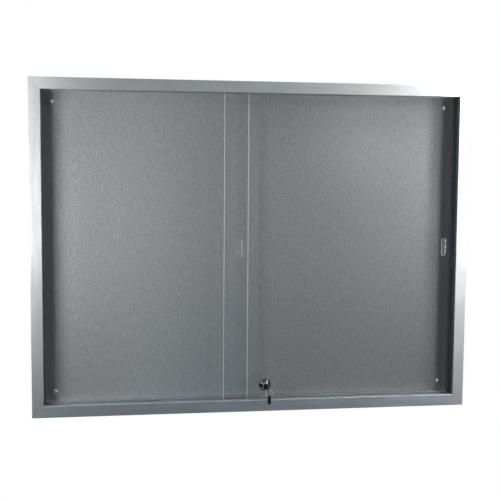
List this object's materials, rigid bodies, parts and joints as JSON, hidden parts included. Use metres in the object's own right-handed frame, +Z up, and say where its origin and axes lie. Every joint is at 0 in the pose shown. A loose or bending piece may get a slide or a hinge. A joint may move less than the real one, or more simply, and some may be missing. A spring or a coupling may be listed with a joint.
{
  "type": "lockable notice board",
  "caption": "Wall-hung notice case: mitred aluminium frame, fabric pin board, two sliding glass doors and a push lock with its key.",
  "frame": {"origin": "centre of the rear plane, on the back sheet, where the case meets the wall", "axes": "+X to the right seen from the front, +Y back into the wall, +Z up"},
  "size_m": [1, 0.0975, 0.75],
  "materials": {
    "frame_aluminium": "satin anodised",
    "corner_aluminium": "mill finish",
    "channel_plastic": "extruded",
    "buffer_rubber": "moulded",
    "door_glass": "polished edges",
    "lock_chrome": "polished",
    "hardware_steel": "nickel plated",
    "tag_plastic": "moulded",
    "board_fabric": "needled felt",
    "board_core": "pressed fibre",
    "back_zinc": "zinc coated",
    "sleeve_steel": "turned",
    "cap_plastic": "moulded",
    "screw_steel": "zinc plated"
  },
  "bodies": {
    "frame": {"rail_top": "frame_aluminium", "rail_bottom": "frame_aluminium", "rail_left": "frame_aluminium", "rail_right": "frame_aluminium", "corner_key_top_left": "corner_aluminium", "corner_key_top_right": "corner_aluminium", "corner_key_bottom_left": "corner_aluminium", "corner_key_bottom_right": "corner_aluminium", "track_top": "channel_plastic", "track_bottom": "channel_plastic", "channel_left": "channel_plastic", "channel_right": "channel_plastic", "buffer_left_1": "buffer_rubber", "buffer_left_2": "buffer_rubber", "buffer_right_1": "buffer_rubber", "buffer_right_2": "buffer_rubber", "fabric_facing": "board_fabric", "pin_board": "board_core", "back_sheet": "back_zinc", "sleeve_top_left": "sleeve_steel", "sleeve_top_right": "sleeve_steel", "sleeve_bottom_left": "sleeve_steel", "sleeve_bottom_right": "sleeve_steel", "cap_top_left": "cap_plastic", "cap_top_right": "cap_plastic", "cap_bottom_left": "cap_plastic", "cap_bottom_right": "cap_plastic", "panel_screw_left_1": "screw_steel", "panel_screw_left_2": "screw_steel", "panel_screw_bottom_1": "screw_steel", "panel_screw_bottom_2": "screw_steel", "panel_screw_bottom_3": "screw_steel", "panel_screw_right_1": "screw_steel", "panel_screw_right_2": "screw_steel", "panel_screw_top_1": "screw_steel", "panel_screw_top_2": "screw_steel", "panel_screw_top_3": "screw_steel"},
    "left_door": {"glass_left": "door_glass"},
    "right_door": {"glass_right": "door_glass", "lock_housing": "lock_chrome", "lock_washer": "buffer_rubber", "lock_nut": "hardware_steel", "lock_spring": "hardware_steel"},
    "plunger": {"lock_plunger": "lock_chrome"},
    "key_core": {"lock_core": "lock_chrome"},
    "key": {"key": "hardware_steel"},
    "key_ring": {"key_ring": "lock_chrome"},
    "key_tag": {"key_tag": "tag_plastic"}
  },
  "joints": [
    {"name": "left_door_slide", "type": "slide", "parent": "frame", "child": "left_door", "axis": [1, 0, 0], "range_m": [0, 0.503]},
    {"name": "right_door_slide", "type": "slide", "parent": "frame", "child": "right_door", "axis": [-1, 0, 0], "range_m": [0, 0.4186]},
    {"name": "lock_press", "type": "slide", "parent": "right_door", "child": "plunger", "axis": [0, -1, 0], "range_m": [-0.006, 0], "stiffness_N_per_m": 600, "springref_m": 0.004, "deforming": ["lock_spring"]},
    {"name": "key_turn", "type": "hinge", "parent": "plunger", "child": "key_core", "pos_m": [0.026, -0.052, -0.318], "axis": [0, 1, 0], "range_deg": [0, 90]},
    {"name": "key_withdraw", "type": "slide", "parent": "key_core", "child": "key", "axis": [0, -1, 0], "range_m": [0, 0.03]},
    {"name": "ring_swing", "type": "hinge", "parent": "key", "child": "key_ring", "pos_m": [0.026, -0.092, -0.319], "axis": [-1, 0, 0], "range_deg": [-20, 80]},
    {"name": "tag_swing", "type": "hinge", "parent": "key_ring", "child": "key_tag", "pos_m": [0.0278, -0.092, -0.3342], "axis": [-1, 0, 0], "range_deg": [-25, 60]}
  ]
}
